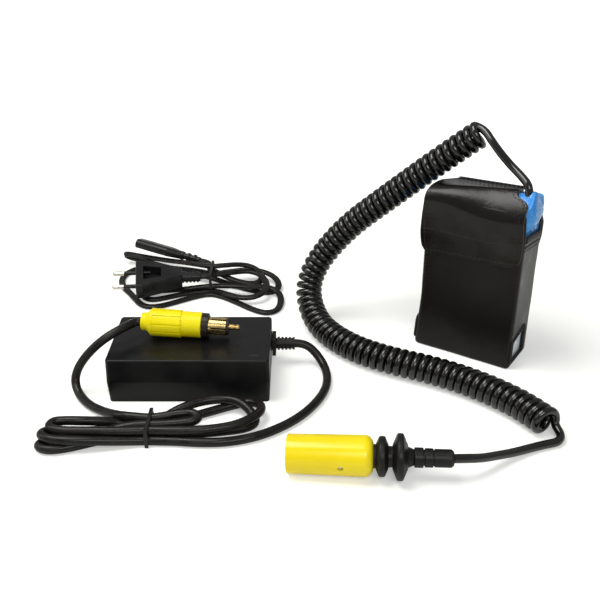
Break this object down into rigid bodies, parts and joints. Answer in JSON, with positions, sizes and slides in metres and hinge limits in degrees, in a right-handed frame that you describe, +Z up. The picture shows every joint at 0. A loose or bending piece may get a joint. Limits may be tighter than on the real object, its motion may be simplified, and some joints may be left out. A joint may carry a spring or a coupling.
{
  "type": "battery charger",
  "caption": "Mains adapter charger with its low-voltage lead and yellow two-pole plug, mains lead, and a belt battery in a flap pouch with a curly cord and yellow socket.",
  "frame": {"origin": "centre of the adapter's base, on the surface that everything stands on", "axes": "+X along the adapter towards its output lead, +Y to its rear, +Z up"},
  "size_m": [0.3357, 0.3192, 0.1659],
  "materials": {
    "black_case_plastic": "fine satin moulding",
    "black_moulded_plastic": "satin",
    "black_cord_jacket": "smooth satin",
    "black_curly_jacket": "glossy polyurethane",
    "black_boot_rubber": "matt",
    "yellow_plug_plastic": "semi-gloss",
    "yellow_socket_plastic": "glossy",
    "brass_contact": "drawn",
    "nickel_contact": "nickel plated",
    "black_leather": "smooth coated",
    "black_webbing": "hook and loop",
    "blue_film": "shrunk film",
    "cell_sleeve": "shrink sleeve",
    "cell_paper": "fish paper",
    "nickel_strip": "bright",
    "board_green": "solder mask",
    "steel": "bright",
    "ferrite": "sintered",
    "winding_tape": "polyester tape",
    "capacitor_sleeve": "shrink sleeve",
    "heat_sink": "extruded",
    "fuse_glass": "clear",
    "green_lamp": "diffusing",
    "smoke_lens": "clear smoke"
  },
  "bodies": {
    "adapter": {"adapter_lower_shell": "black_case_plastic", "adapter_upper_shell": "black_case_plastic", "circuit_board": "board_green", "board_screws": "steel", "mains_inlet": "black_moulded_plastic", "mains_inlet_pins": "nickel_contact", "transformer_core": "ferrite", "transformer_winding": "winding_tape", "bulk_capacitor": "capacitor_sleeve", "smoothing_capacitors": "capacitor_sleeve", "filter_choke": "ferrite", "heat_sinks": "heat_sink", "power_transistors": "black_moulded_plastic", "fuse": "fuse_glass", "status_led": "green_lamp", "status_lens": "smoke_lens", "output_strain_relief": "black_boot_rubber", "output_lead": "black_cord_jacket", "output_lead_hank": "black_cord_jacket", "output_lead_to_plug": "black_cord_jacket", "output_lead_tie": "black_moulded_plastic", "plug_cap": "yellow_plug_plastic", "plug_body": "yellow_plug_plastic", "plug_collar": "black_moulded_plastic", "plug_insulator": "black_moulded_plastic", "plug_sleeve_contact": "brass_contact", "plug_tip_contact": "brass_contact"},
    "mains_lead": {"mains_plug_body": "black_moulded_plastic", "mains_plug_pins": "nickel_contact", "mains_plug_pin_sleeves": "black_moulded_plastic", "mains_lead_at_plug": "black_cord_jacket", "mains_lead_hank": "black_cord_jacket", "mains_lead_ring": "black_cord_jacket", "mains_lead_at_connector": "black_cord_jacket", "mains_lead_tie": "black_moulded_plastic", "mains_connector_body": "black_moulded_plastic", "mains_connector_contacts": "brass_contact"},
    "battery_set": {"pouch_body": "black_leather", "pouch_top_panel": "black_leather", "belt_loop": "black_leather", "flap_catch_loops": "black_webbing", "battery_wrap": "blue_film", "battery_cells": "cell_sleeve", "cell_end_papers": "cell_paper", "nickel_strips": "nickel_strip", "protection_board": "board_green", "curly_cord_tail": "black_curly_jacket", "curly_cord_coil": "black_curly_jacket", "curly_cord_lead": "black_curly_jacket", "socket_boot": "black_boot_rubber", "socket_body": "yellow_socket_plastic", "socket_sleeve_contact": "nickel_contact", "socket_insulator": "black_moulded_plastic", "socket_centre_contact": "brass_contact", "socket_screw": "steel"},
    "pouch_flap": {"pouch_flap": "black_leather", "flap_catch_hooks": "black_webbing"}
  },
  "joints": [
    {"name": "mains_lead_lift", "type": "slide", "parent": "adapter", "child": "mains_lead", "axis": [0, 0, 1], "range_m": [0, 0.08]},
    {"name": "battery_lift", "type": "slide", "parent": "adapter", "child": "battery_set", "axis": [0, 0, 1], "range_m": [0, 0.1]},
    {"name": "flap_fold", "type": "hinge", "parent": "battery_set", "child": "pouch_flap", "pos_m": [0.15987, 0.04629, 0.123], "axis": [-0.827, 0.533, -0.1786], "range_deg": [0, 120]}
  ]
}
